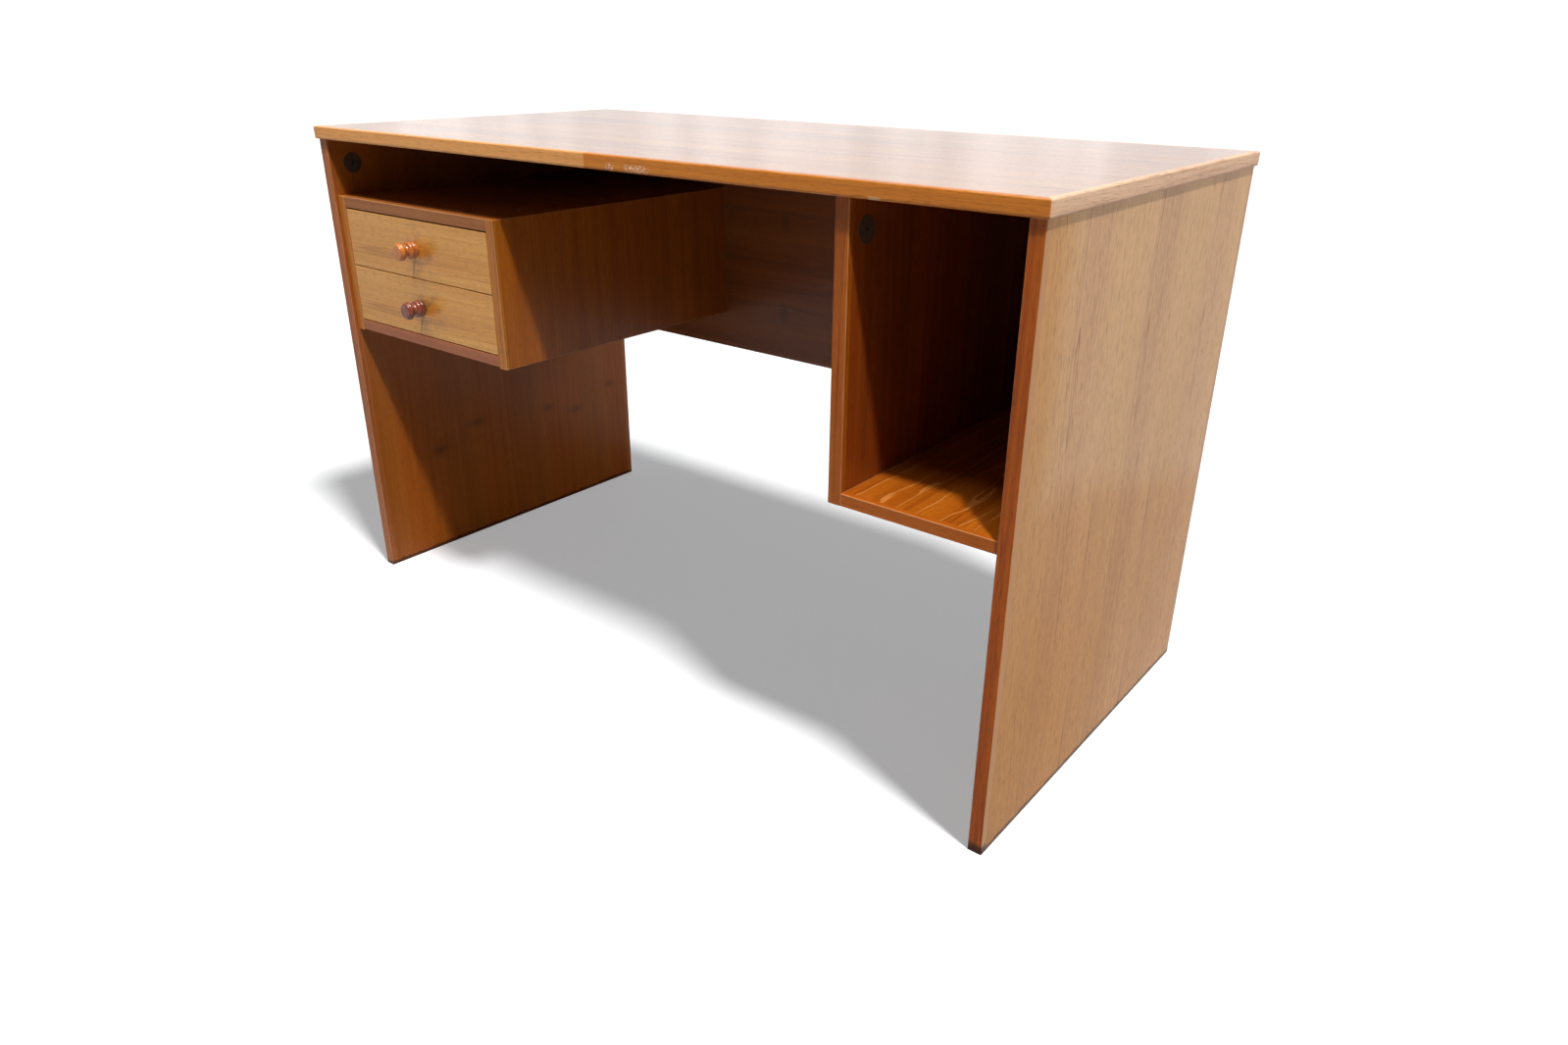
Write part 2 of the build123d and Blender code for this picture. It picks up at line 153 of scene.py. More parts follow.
def white_room():
    """The wall behind the desk is bright in its gloss, in soft upright bands like a row of
    windows, and the rest of the room is dim."""
    room = bpy.data.worlds.new("white_room")
    room.use_nodes = True
    tree = room.node_tree
    rays = add(tree, "ShaderNodeLightPath")
    facing = add(tree, "ShaderNodeTexCoord").outputs["Generated"]
    behind = add(tree, "ShaderNodeVectorMath", {0: facing, 1: (-0.45, 0.89, 0.0)},
                 operation="DOT_PRODUCT").outputs["Value"]
    gloss = add(tree, "ShaderNodeMapRange", {"Value": behind, "From Min": 0.0, "From Max": 0.7,
                                             "To Min": 0.12, "To Max": 0.96},
                interpolation_type="SMOOTHSTEP").outputs["Result"]
    upright_bands = add(tree, "ShaderNodeVectorMath", {0: facing, 1: (20.0, 20.0, 0.6)},
                        operation="MULTIPLY").outputs[0]
    windows = add(tree, "ShaderNodeTexNoise",
                  {"Vector": upright_bands, "Scale": 1.0, "Detail": 1.5}).outputs["Fac"]
    windows = add(tree, "ShaderNodeMapRange", {"Value": windows, "From Min": 0.40, "From Max": 0.62,
                                               "To Min": 0.86, "To Max": 1.08}).outputs["Result"]
    gloss = times(tree, gloss, windows)
    fill, backdrop = 0.10, 1.02
    strength = add(tree, "ShaderNodeMix", {0: rays.outputs["Is Diffuse Ray"], 2: gloss, 3: fill})
    strength = add(tree, "ShaderNodeMix",
                   {0: rays.outputs["Is Camera Ray"], 2: strength.outputs[0], 3: backdrop})
    tree.nodes["Background"].inputs["Color"].default_value = (1, 1, 1, 1)
    tree.links.new(strength.outputs[0], tree.nodes["Background"].inputs["Strength"])
    scene.world = room


desk_lamps = [
    lamp("desk_key", "SUN", (-0.32, 0.28, -1.0), 3.5, angle=math.radians(3.2), color=(1.0, 0.97, 0.93)),
    lamp("front_softbox", "AREA", (0.0, 0.30, -1.0), 66.0, place=(0.1, -1.2, 3.8),
         shape="RECTANGLE", size=3.2, size_y=1.0),
    lamp("side_softbox", "AREA", (-1.0, -0.5, -0.35), 31.0, place=(2.8, 1.6, 1.7),
         shape="RECTANGLE", size=2.4, size_y=1.6),
]
for desk_lamp in desk_lamps:
    desk_lamp.light_linking.receiver_collection = group_of("lit_by_" + desk_lamp.name, nodes.values())
# The knobs throw no hard shadow from the key light, only the softer ones of the other lamps.
desk_lamps[0].light_linking.blocker_collection = group_of(
    "shading_desk_key", [node for name, node in nodes.items() if not name.endswith("_knob")])
# Two more softboxes keep the back and the left side from going dull when they are looked at.
back_softbox = lamp("back_softbox", "AREA", (0.0, -1.0, -0.55), 38.0, place=(-0.4, 2.9, 2.0),
                    shape="RECTANGLE", size=3.0, size_y=1.4)
back_softbox.light_linking.receiver_collection = group_of(
    "lit_by_back_softbox", [node for name, node in nodes.items() if "back_" in name])
left_softbox = lamp("left_softbox", "AREA", (1.0, -0.15, -0.4), 30.0, place=(-3.0, 0.6, 1.7),
                    shape="RECTANGLE", size=2.4, size_y=1.6)
left_softbox.light_linking.receiver_collection = group_of(
    "lit_by_left_softbox", [node for name, node in nodes.items() if name.startswith("left_side_")])
# The floor's own key light throws the desk's shadow, softer and further to the left.
floor_key = lamp("floor_key", "SUN", (-0.64, 0.17, -1.0), 3.6, angle=math.radians(8.0))
floor_key.light_linking.receiver_collection = group_of("lit_by_floor_key", [pale_floor()])
white_room()

# ---- Desktop -----------------------------------------------------------------------------------
# Chipboard faced with teak veneer, its leaves laid side by side with the grain running the length
# of the desk, under a hard satin lacquer that has gone milky with use.


def board_box(*names):
    """The corners of the board that these pieces make together."""
    boxes = [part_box(n) for n in names]
    low = Vector(min(b[0][i] for b in boxes) for i in range(3))
    high = Vector(max(b[1][i] for b in boxes) for i in range(3))
    return low, high


def give(finish, *names):
    """Puts a finish on CAD pieces."""
    for name in names:
        piece = nodes[name]
        if not piece.material_slots:
            piece.data.materials.append(finish)
        for place in piece.material_slots:
            place.material = finish


def stretched_noise(tree, where, scale, detail=2.0, roughness=0.55):
    """Noise whose cells are 1/scale metres long along each direction of the board."""
    place = add(tree, "ShaderNodeVectorMath", {0: where, 1: scale}, operation="MULTIPLY").outputs[0]
    made = add(tree, "ShaderNodeTexNoise",
               {"Vector": place, "Scale": 1.0, "Detail": detail, "Roughness": roughness})
    return made.outputs["Fac"]


def ramp(tree, value, *stops):
    """Stops are (position, colour)."""
    made = add(tree, "ShaderNodeValToRGB", {"Fac": value})
    points = made.color_ramp.elements
    while len(points) < len(stops):
        points.new(0.5)
    for point, (position, colour) in zip(points, stops):
        point.position = position
        point.color = colour
    return made.outputs["Color"]


def grey(value):
    return (value, value, value, 1)


def smooth(tree, value, start, end, low=0.0, high=1.0):
    """Goes from low at start to high at end without a corner."""
    return add(tree, "ShaderNodeMapRange",
               {"Value": value, "From Min": start, "From Max": end, "To Min": low, "To Max": high},
               interpolation_type="SMOOTHSTEP").outputs["Result"]


def roughen(tree, shader, height, strength, depth):
    """Pores and tool marks, as a bump of so many metres."""
    bump = add(tree, "ShaderNodeBump", {"Height": height, "Strength": strength, "Distance": depth})
    tree.links.new(bump.outputs["Normal"], shader.inputs["Normal"])


def blend_colour(tree, share, under, over, mode="MIX"):
    """The over colour laid on the under one by a share from 0 to 1."""
    made = add(tree, "ShaderNodeMix", data_type="RGBA", blend_type=mode)
    for socket, value in ((made.inputs[0], share), (made.inputs[6], under), (made.inputs[7], over)):
        if isinstance(value, bpy.types.NodeSocket):
            tree.links.new(value, socket)
        else:
            socket.default_value = value
    return made.outputs[2]


def edge_distance(tree, axes, low, high):
    """How far a point on a board's surface is from the nearest edge of the whole board."""
    gaps = []
    for i, axis in enumerate(axes):
        gaps.append(math_node(tree, "MINIMUM", minus(tree, axis, low[i]), minus(tree, high[i], axis)))
    least = math_node(tree, "MINIMUM", math_node(tree, "MINIMUM", gaps[0], gaps[1]), gaps[2])
    most = math_node(tree, "MAXIMUM", math_node(tree, "MAXIMUM", gaps[0], gaps[1]), gaps[2])
    total = plus(tree, plus(tree, gaps[0], gaps[1]), gaps[2])
    return minus(tree, minus(tree, total, least), most)


def shifted(tree, where, offset):
    """Moves a pattern along, so that each board is cut from another part of the log."""
    return add(tree, "ShaderNodeVectorMath", {0: where, 1: offset}, operation="ADD").outputs[0]


def distance(tree, one_way, other_way):
    return math_node(tree, "SQRT", plus(tree, times(tree, one_way, one_way),
                                        times(tree, other_way, other_way)))


def fall_off(tree, square, steepness):
    """A bell: 1 in the middle, and 0 far out."""
    return math_node(tree, "EXPONENT", times(tree, square, -steepness))


def round_knots(tree, along, side, knots):
    """Fibres part round a knot and close again behind it. Gives the bent fibres and the knots'
    own dark spots."""
    spots = None
    for knot_along, knot_side, size in knots:
        lengthways = divide(tree, minus(tree, along, knot_along), size * 2.2)
        sideways = divide(tree, minus(tree, side, knot_side), size)
        long_square, side_square = times(tree, lengthways, lengthways), times(tree, sideways, sideways)
        swell = fall_off(tree, plus(tree, long_square, side_square), 0.5)
        side = plus(tree, side, times(tree, times(tree, swell, sideways), -0.75 * size))
        # The dark eye is much shorter along the fibres than across them.
        eye = plus(tree, times(tree, long_square, 7.0), times(tree, side_square, 0.35))
        spot = fall_off(tree, eye, 1.6)
        spots = spot if spots is None else math_node(tree, "MAXIMUM", spots, spot)
    return side, spots


def veneer_leaves(tree, along, side, leaf, seed):
    """Leaves side by side, each cut a little further along the log and a shade apart. Gives the
    place along and across each leaf, and its shade."""
    number = math_node(tree, "FLOOR", divide(tree, side, leaf))
    along = plus(tree, along, times(tree, number, 0.021))
    local = minus(tree, side, times(tree, plus(tree, number, 0.5), leaf))
    scatter = math_node(tree, "SINE", times(tree, number, 12.9 + seed))
    return along, local, math_node(tree, "FRACT", times(tree, scatter, 437.5))


def growth_rings(tree, along, local, lie, rings, seed):
    """A flat slice through the tapering trunk cuts the rings in arches. It runs from 0 to 1 over
    the width of each ring."""
    taper = plus(tree, times(tree, along, 0.055), 0.018 + 0.004 * math.sin(seed))
    wobble = stretched_noise(tree, lie, (5.0, 24.0, 1.0), detail=3.0, roughness=0.6)
    turns = plus(tree, times(tree, distance(tree, local, taper), rings), times(tree, wobble, 2.4))
    return math_node(tree, "FRACT", turns)


def worn_and_highlit_arrises(tree, axes, where, board, colour, wear_and_highlight):
    """The arrises are paler: the finish rubbed thin by handling, and a painted highlight along them."""
    patchy = stretched_noise(tree, where, (30.0, 30.0, 30.0), detail=3.0)
    reach = times(tree, patchy, 0.0016)
    rub_and_highlight = math_node(tree, "LESS_THAN", edge_distance(tree, axes, *board), reach)
    return blend_colour(tree, times(tree, rub_and_highlight, wear_and_highlight), colour,
                        blend_colour(tree, 0.5, colour, paint(232, 196, 150)))


def teak(name, grain, across, board, light, middle, dark, cast, seed, leaf=0.0, figure=0.0,
         rings=260.0, bands=0.7, band_count=26.0, streaks=0.6, veins=0.4, pale_rings=0.0,
         pore_depth=0.42, knots=(), gloss=0.34, shine=0.4, coat=0.15, polish=0.18, wear_and_highlight=0.3, marks=None):
    """Lacquered teak, from its light, middle and dark colours and the cast that the paler bands
    drift to. The grain runs along one axis, and leaves of veneer, each as wide as leaf, lie side by
    side along another. figure is how strongly the growth rings show as nested arches, pale_rings
    draws them as pale lines, and rings and band_count are how many there are to a metre; veins are
    thin dark lines; each knot is (along, across, size). gloss and polish are how rough the wood and
    its lacquer are, shine and coat how much they reflect. marks adds this piece's own stains and
    scuffs: it is given the tree, the three axes and the colour, and returns a colour."""
    finish, tree, shader, where = new_finish(name)
    split = add(tree, "ShaderNodeSeparateXYZ", {0: where})
    axes = [split.outputs[i] for i in range(3)]
    lengthways, sideways = "xyz".index(grain), "xyz".index(across)
    through = ({0, 1, 2} - {lengthways, sideways}).pop()
    along, side, depth = axes[lengthways], axes[sideways], axes[through]
    centre = [(board[0][i] + board[1][i]) / 2 for i in range(3)]

    side, knot_spots = round_knots(tree, along, side, knots)
    # The lines keep to the grain on a board's edges as they do on its faces.
    side = plus(tree, side, times(tree, minus(tree, depth, centre[through]), 0.7))
    # The whole pattern sways a little from side to side on its way along the board.
    straight = add(tree, "ShaderNodeCombineXYZ", {0: along, 1: side, 2: depth}).outputs[0]
    straight = shifted(tree, straight, (seed * 1.37, seed * 0.71, seed * 0.23))
    drift = stretched_noise(tree, straight, (1.3, 3.0, 0.4), detail=1.5)
    side = plus(tree, side, times(tree, minus(tree, drift, 0.5), 0.030))
    leaf_shade = 0.5
    if leaf:
        along, local, leaf_shade = veneer_leaves(tree, along, side, leaf, seed)
    else:
        local = minus(tree, side, centre[sideways] + 0.01)
    lie = add(tree, "ShaderNodeCombineXYZ", {0: along, 1: local, 2: depth}).outputs[0]
    lie = shifted(tree, lie, (seed * 2.11, seed * 0.93, seed * 0.37))

    band = stretched_noise(tree, lie, (0.8, band_count, 1.0), detail=2.5)
    streak = stretched_noise(tree, lie, (2.6, 170.0, 1.0), detail=3.0, roughness=0.6)
    fibre = stretched_noise(tree, lie, (11.0, 900.0, 4.0), detail=2.0, roughness=0.65)
    pore = stretched_noise(tree, lie, (75.0, 1500.0, 30.0), detail=1.0, roughness=0.4)
    hue = stretched_noise(tree, lie, (0.5, 11.0, 0.5), detail=1.0)
    # A vein follows the line where a slow wave crosses its middle, and fades out in pale bands.
    wave = stretched_noise(tree, lie, (1.1, 2.3 * band_count, 1.0), detail=2.0)
    vein = smooth(tree, math_node(tree, "ABSOLUTE", minus(tree, wave, 0.5)), 0.00085 * band_count, 0.0)
    vein = times(tree, vein, smooth(tree, band, 0.60, 0.42))
    ring = growth_rings(tree, along, local, lie, rings, seed)
    late_wood = math_node(tree, "POWER", ring, 5.0)

    tone = 0.5
    for pattern, even, strength in (
            (band, 0.5, bands), (streak, 0.5, streaks), (fibre, 0.5, 0.30), (leaf_shade, 0.5, 0.10),
            (late_wood, 0.0, -0.30 * figure), (ring, 0.0, 0.16 * figure), (vein, 0.0, -0.45 * veins)):
        tone = plus(tree, tone, times(tree, minus(tree, pattern, even), strength))
    colour = ramp(tree, tone, (0.12, paint(*dark)), (0.45, paint(*middle)), (0.80, paint(*light)))
    colour = blend_colour(tree, smooth(tree, hue, 0.42, 0.68, 0.0, 0.65), colour,
                          blend_colour(tree, 0.55, colour, paint(*cast)))
    if pale_rings:
        pale = times(tree, smooth(tree, ring, 0.84, 0.95), smooth(tree, ring, 1.0, 0.97))
        colour = blend_colour(tree, times(tree, pale, pale_rings), colour, paint(*light))
        colour = blend_colour(tree, times(tree, pale, pale_rings * 0.2), colour,
                              paint(244, 196, 128))
    pores = smooth(tree, pore, 0.57, 0.66)
    colour = blend_colour(tree, times(tree, pores, pore_depth), colour,
                          blend_colour(tree, 1.0, colour, grey(0.35), "MULTIPLY"))
    if knot_spots is not None:
        colour = blend_colour(tree, times(tree, knot_spots, 0.5), colour, paint(60, 38, 18))
    # Paler arrises: partly rubbed finish, partly a painted highlight along the edges.
    colour = worn_and_highlit_arrises(tree, axes, where, board, colour, wear_and_highlight)
    if marks is not None:
        colour = marks(tree, axes, colour)
    tree.links.new(colour, shader.inputs["Base Color"])

    haze = stretched_noise(tree, where, (3.0, 3.0, 3.0), detail=3.0)
    rough = plus(tree, times(tree, haze, 0.12), gloss - 0.06)
    rough = plus(tree, rough, times(tree, pores, 0.10))
    tree.links.new(rough, shader.inputs["Roughness"])
    height = minus(tree, times(tree, fibre, 0.25), pores)
    roughen(tree, shader, height, 0.22, 0.0004)
    shader.inputs["Specular IOR Level"].default_value = shine
    shader.inputs["Coat Weight"].default_value = coat
    shader.inputs["Coat Roughness"].default_value = polish
    shader.inputs["Coat IOR"].default_value = 1.5
    return finish


desktop_pieces = ["desktop_panel", "desktop_front_lipping_left", "desktop_front_lipping_right",
                  "desktop_back_lipping", "desktop_left_lipping", "desktop_right_lipping"]
desktop = board_box(*desktop_pieces)
give(teak("desktop_teak", "x", "y", desktop, (200, 142, 88), (174, 110, 60), (122, 70, 36),
          (182, 122, 86), seed=1.0, leaf=0.29, figure=1.0, bands=0.9, streaks=0.9, veins=0.7,
          gloss=0.26, coat=0.9, polish=0.09, wear_and_highlight=0.0),
     "desktop_panel")

# ---- Desktop lippings --------------------------------------------------------------------------
# Five strips of solid teak glued round the desktop and mitred at the corners, the front one in two
# lengths that meet in the middle. Years of chair arms have bruised the front one.


def near(tree, axis, place, outer, inner):
    """1 within inner of a place along an axis, and 0 from outer on."""
    return smooth(tree, math_node(tree, "ABSOLUTE", minus(tree, axis, place)), outer, inner)


def front_edge_marks(tree, axes, colour):
    """Two white scuffs just right of the middle, half way up the edge, and a chip under its arris
    further right."""
    x, _, z = axes
    scuff_height, chip_place = 0.7175, 0.415
    on_the_edge = add(tree, "ShaderNodeCombineXYZ", {0: x, 2: z}).outputs[0]
    scratch = stretched_noise(tree, on_the_edge, (260.0, 1.0, 420.0), detail=3.0, roughness=0.7)
    for scuff_place, half_length in ((0.044, 0.008), (0.088, 0.022)):
        patch = times(tree, near(tree, x, scuff_place, half_length, half_length * 0.6),
                      near(tree, z, scuff_height, 0.0050, 0.0030))
        share = times(tree, patch, smooth(tree, scratch, 0.50, 0.58))
        colour = blend_colour(tree, times(tree, share, 0.75), colour, paint(238, 222, 205))
    chip = times(tree, near(tree, x, chip_place, 0.010, 0.004), smooth(tree, z, 0.7165, 0.7140))
    return blend_colour(tree, times(tree, chip, 0.6), colour, paint(225, 190, 145))


give(teak("desktop_front_lipping_left_teak", "x", "z", desktop, (238, 174, 104), (226, 156, 84),
          (190, 118, 56), (228, 162, 96), seed=2.0, streaks=0.7, wear_and_highlight=0.4, marks=front_edge_marks),
     "desktop_front_lipping_left")
give(teak("desktop_front_lipping_right_teak", "x", "z", desktop, (214, 132, 34), (194, 110, 18),
          (152, 76, 9), (204, 128, 44), seed=3.0, streaks=0.8, wear_and_highlight=0.4, marks=front_edge_marks),
     "desktop_front_lipping_right")
give(teak("desktop_back_lipping_teak", "x", "z", desktop, (206, 144, 88), (184, 118, 62),
          (142, 84, 40), (190, 132, 88), seed=4.0, streaks=0.7, wear_and_highlight=0.4), "desktop_back_lipping")
give(teak("desktop_end_lipping_teak", "y", "z", desktop, (236, 197, 162), (222, 178, 141),
          (180, 131, 95), (226, 186, 157), seed=5.0, streaks=0.7, wear_and_highlight=0.4),
     "desktop_left_lipping", "desktop_right_lipping")

# ---- Slab sides --------------------------------------------------------------------------------
# Veneered boards with the grain upright, the leaves of the left one cut one after another from the
# same log so that their knots line up. A solid strip closes the front and the back edge.


def dark_foot_line(tree, axes, colour):
    """A ragged dark line painted along the last few millimetres at the foot."""
    x, y, z = axes
    on_the_floor = add(tree, "ShaderNodeCombineXYZ", {0: x, 1: y}).outputs[0]
    patch = stretched_noise(tree, on_the_floor, (60.0, 60.0, 1.0), detail=3.0)
    ragged_top = times(tree, patch, 0.009)
    share = smooth(tree, minus(tree, z, ragged_top), 0.0035, 0.0)
    return blend_colour(tree, times(tree, share, 0.8), colour, paint(46, 22, 12))


def right_face_reflection_and_foot(tree, axes, colour):
    """The upper part is left pale and pinkish, a painted reflection, down to a slanting line that lies
    lower at the back; below it, and just behind the front strip, it is painted a deeper tan."""
    _, y, z = axes
    front = right_board[0].y
    # Painted reflection: below the slant, low at the front and beside the front strip, the colour is
    # multiplied to a deeper tan; above the slant the pale base colour stands as the reflection.
    slant = plus(tree, z, times(tree, y, 0.25))
    below_painted_reflection = smooth(tree, slant, 0.405, 0.340, 0.0, 0.5)
    front_foot = times(tree, smooth(tree, z, 0.5, 0.05, 0.0, 0.6), smooth(tree, y, 0.15, -0.2))
    beside_strip = smooth(tree, y, front + 0.095, front + 0.012, 0.0, 0.7)
    share = math_node(tree, "MAXIMUM", plus(tree, below_painted_reflection, front_foot), beside_strip)
    colour = blend_colour(tree, share, colour, (0.83, 0.62, 0.26, 1.0), "MULTIPLY")
    return dark_foot_line(tree, axes, colour)


def side_pieces(side):
    return [side + "_side_panel", side + "_side_front_lipping", side + "_side_back_lipping"]


def strip_marks(outer, inward, face, stained=False):
    """On the outside of a side board the veneer runs on over the strip to the very arris. A stained
    strip has stood in the wet."""
    def marks(tree, axes, colour):
        x, _, z = axes
        veneer = smooth(tree, times(tree, minus(tree, x, outer), inward), 0.0011, 0.0005)
        colour = blend_colour(tree, times(tree, veneer, 0.85), colour, paint(*face))
        colour = dark_foot_line(tree, axes, colour)
        if stained:
            colour = blend_colour(tree, smooth(tree, z, 0.015, 0.009, 0.0, 0.8), colour,
                                  paint(50, 18, 8))
        return colour
    return marks


left_board, right_board = board_box(*side_pieces("left")), board_box(*side_pieces("right"))
LEFT_KNOTS = [(0.181, -0.154, 0.013), (0.212, -0.071, 0.012), (0.198, 0.093, 0.011),
              (0.178, 0.160, 0.012), (0.209, 0.251, 0.010)]
give(teak("left_side_teak", "z", "y", left_board, (176, 98, 30), (154, 78, 17), (116, 56, 10),
          (142, 88, 32), seed=6.0, leaf=0.16, figure=0.2, bands=0.6, streaks=0.35, veins=0.2,
          knots=LEFT_KNOTS, shine=0.25, marks=dark_foot_line),
     "left_side_panel")
# The right side's pale colour, deepened to tan low down and near the front, carries a painted reflection on
# its outer face.
give(teak("right_side_teak", "z", "y", right_board, (225, 180, 137), (201, 155, 113), (158, 114, 82),
          (210, 168, 108), seed=7.0, leaf=0.19, figure=0.05, bands=0.55, band_count=9.0, streaks=0.45,
          veins=0.9, pore_depth=0.6, shine=0.25, marks=right_face_reflection_and_foot),
     "right_side_panel")
give(teak("left_side_strip_teak", "z", "x", left_board, (182, 106, 48), (158, 85, 33), (118, 56, 18),
          (166, 98, 50), seed=8.0, wear_and_highlight=0.45, marks=strip_marks(left_board[0].x, 1.0, (196, 128, 74))),
     "left_side_front_lipping", "left_side_back_lipping")
give(teak("right_side_strip_teak", "z", "x", right_board, (187, 97, 20), (161, 75, 11), (116, 46, 5),
          (166, 86, 20), seed=9.0, streaks=0.9, shine=0.2, wear_and_highlight=0.5,
          marks=strip_marks(right_board[1].x, -1.0, (192, 144, 98), stained=True)),
     "right_side_front_lipping")
give(teak("right_side_back_strip_teak", "z", "x", right_board, (190, 116, 58), (166, 92, 42),
          (124, 62, 26), (170, 102, 58), seed=10.0, wear_and_highlight=0.4,
          marks=strip_marks(right_board[1].x, -1.0, (194, 148, 108))),
     "right_side_back_lipping")

# ---- Back panel --------------------------------------------------------------------------------
# A veneered board dowelled between the sides to stiffen the desk, grain running across, with a
# knotty crown-cut figure and a solid strip along its lower edge.

back_board = board_box("back_panel", "back_panel_bottom_lipping")
BACK_KNOTS = [(-0.074, 0.587, 0.010), (-0.078, 0.437, 0.012), (0.18, 0.520, 0.007)]
give(teak("back_panel_teak", "x", "z", back_board, (146, 80, 28), (122, 61, 17), (84, 38, 8),
          (126, 72, 28), seed=11.0, leaf=0.15, figure=0.7, streaks=0.45, knots=BACK_KNOTS), "back_panel")
give(teak("back_panel_strip_teak", "x", "z", back_board, (164, 98, 46), (140, 77, 31), (100, 50, 18),
          (146, 86, 44), seed=12.0, wear_and_highlight=0.4), "back_panel_bottom_lipping")

# ---- Open compartment --------------------------------------------------------------------------
# An upright divider hung from the desktop and a shelf dowelled between it and the right side,
# both veneered, with orange solid strips on their front edges.

divider_board = board_box("divider_panel", "divider_front_lipping")
shelf_board = board_box("compartment_shelf", "shelf_front_lipping")
give(teak("divider_teak", "z", "y", divider_board, (156, 74, 18), (128, 54, 12), (92, 36, 8),
          (126, 66, 22), seed=13.0, leaf=0.22, figure=0.2, streaks=0.7), "divider_panel")
give(teak("divider_strip_teak", "z", "x", divider_board, (184, 102, 28), (160, 81, 17),
          (116, 51, 8), (164, 90, 26), seed=14.0, shine=0.2, wear_and_highlight=0.4), "divider_front_lipping")
give(teak("shelf_teak", "y", "x", shelf_board, (182, 102, 22), (148, 71, 7), (108, 46, 3),
          (158, 84, 14), seed=15.0, rings=42.0, figure=0.5, bands=0.5, pale_rings=0.7), "compartment_shelf")
give(teak("shelf_strip_teak", "x", "z", shelf_board, (186, 101, 26), (163, 81, 15), (118, 49, 8),
          (167, 91, 26), seed=16.0, shine=0.2, wear_and_highlight=0.4), "shelf_front_lipping")

# ---- Drawer box --------------------------------------------------------------------------------
# Four veneered boards and a thin plain back make a case that is screwed to the left side. Thin
# solid strips, paler or pinker than the veneer, edge it all round the front.

box_names = ["box_left_side", "box_right_side", "box_top", "box_bottom"]
box_board = board_box(*box_names, *[n + "_front_lipping" for n in box_names])


def box_top_marks(tree, axes, colour):
    """A plugged screw hole near the front of the case's top."""
    x, y, _ = axes
    plug_x, plug_y = -0.255, -0.188
    away = distance(tree, minus(tree, x, plug_x), minus(tree, y, plug_y))
    return blend_colour(tree, smooth(tree, away, 0.0032, 0.0020), colour, paint(240, 214, 180))


give(teak("box_side_teak", "z", "y", box_board, (182, 104, 26), (158, 82, 13), (116, 54, 7),
          (158, 90, 24), seed=17.0, leaf=0.18, figure=0.2, streaks=0.45, veins=0.25),
     "box_left_side", "box_right_side")
give(teak("box_board_teak", "x", "y", box_board, (172, 100, 46), (146, 80, 32), (104, 52, 18),
          (148, 86, 42), seed=18.0, leaf=0.23, figure=0.5, marks=box_top_marks), "box_top", "box_bottom")
give(teak("box_upright_strip_teak", "z", "x", box_board, (200, 128, 48), (177, 105, 32),
          (138, 72, 18), (184, 114, 46), seed=19.0, wear_and_highlight=0.4),
     "box_left_side_front_lipping", "box_right_side_front_lipping")
give(teak("box_top_strip_teak", "x", "z", box_board, (170, 104, 48), (147, 85, 32), (108, 56, 18),
          (154, 94, 46), seed=20.0, wear_and_highlight=0.4), "box_top_front_lipping")
give(teak("box_bottom_strip_teak", "x", "z", box_board, (186, 112, 70), (163, 92, 52), (124, 62, 30),
          (172, 104, 66), seed=21.0, wear_and_highlight=0.4), "box_bottom_front_lipping")
give(teak("box_back_board", "x", "z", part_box("box_back"), (206, 162, 112), (186, 140, 92),
          (150, 106, 66), (196, 152, 108), seed=22.0, figure=0.3, coat=0.0, gloss=0.6), "box_back")

# ---- Drawer fronts -----------------------------------------------------------------------------
# Two fronts cut from one yellowish, fine-lined board, so that the grain runs on from one to the
# other, each a hair smaller than its opening. Round each knob a soft grey shadow is painted, and
# just right of it a painted amber glow of light thrown off the knob.


def knob_shadow_and_glow(level):
    """A painted grey shadow close round the knob, blotchy, and a painted amber glow just right of it."""
    low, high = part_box(level + "_drawer_knob")
    knob_x, knob_z = (low.x + high.x) / 2, (low.z + high.z) / 2

    def marks(tree, axes, colour):
        x, _, z = axes
        on_the_front = add(tree, "ShaderNodeCombineXYZ", {0: x, 1: z}).outputs[0]
        cloud = stretched_noise(tree, on_the_front, (45.0, 70.0, 1.0), detail=3.0)
        # A grey shadow of the knob is painted below and right of it, broken up in blotches.
        away = distance(tree, minus(tree, x, knob_x + 0.012), minus(tree, z, knob_z - 0.006))
        share = times(tree, smooth(tree, away, 0.060, 0.010), smooth(tree, cloud, 0.42, 0.66))
        colour = blend_colour(tree, times(tree, share, 0.45), colour, paint(112, 92, 74))
        # A glow of light thrown off the knob is painted amber just right of it.
        half_width, half_height = 0.026, 0.018
        glow_distance = distance(tree, divide(tree, minus(tree, x, knob_x + 0.024), half_width),
                         divide(tree, minus(tree, z, knob_z - 0.002), half_height))
        return blend_colour(tree, smooth(tree, glow_distance, 1.0, 0.2, 0.0, 0.75), colour,
                            (0.88, 0.62, 0.26, 1.0), "MULTIPLY")
    return marks


for level in ("upper", "lower"):
    give(teak(level + "_drawer_front_teak", "x", "z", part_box(level + "_drawer_front"),
              (230, 172, 90), (211, 146, 64), (166, 101, 36), (213, 149, 72), seed=23.0,
              figure=0.15, bands=0.7, streaks=0.8, coat=0.6, polish=0.12, wear_and_highlight=0.12,
              marks=knob_shadow_and_glow(level)),
         level + "_drawer_front")

# ---- Drawer boxes ------------------------------------------------------------------------------
# Pale beech sides and backs, planed and thinly sealed, grooved for the runners, with a thin
# plywood bottom let into them.


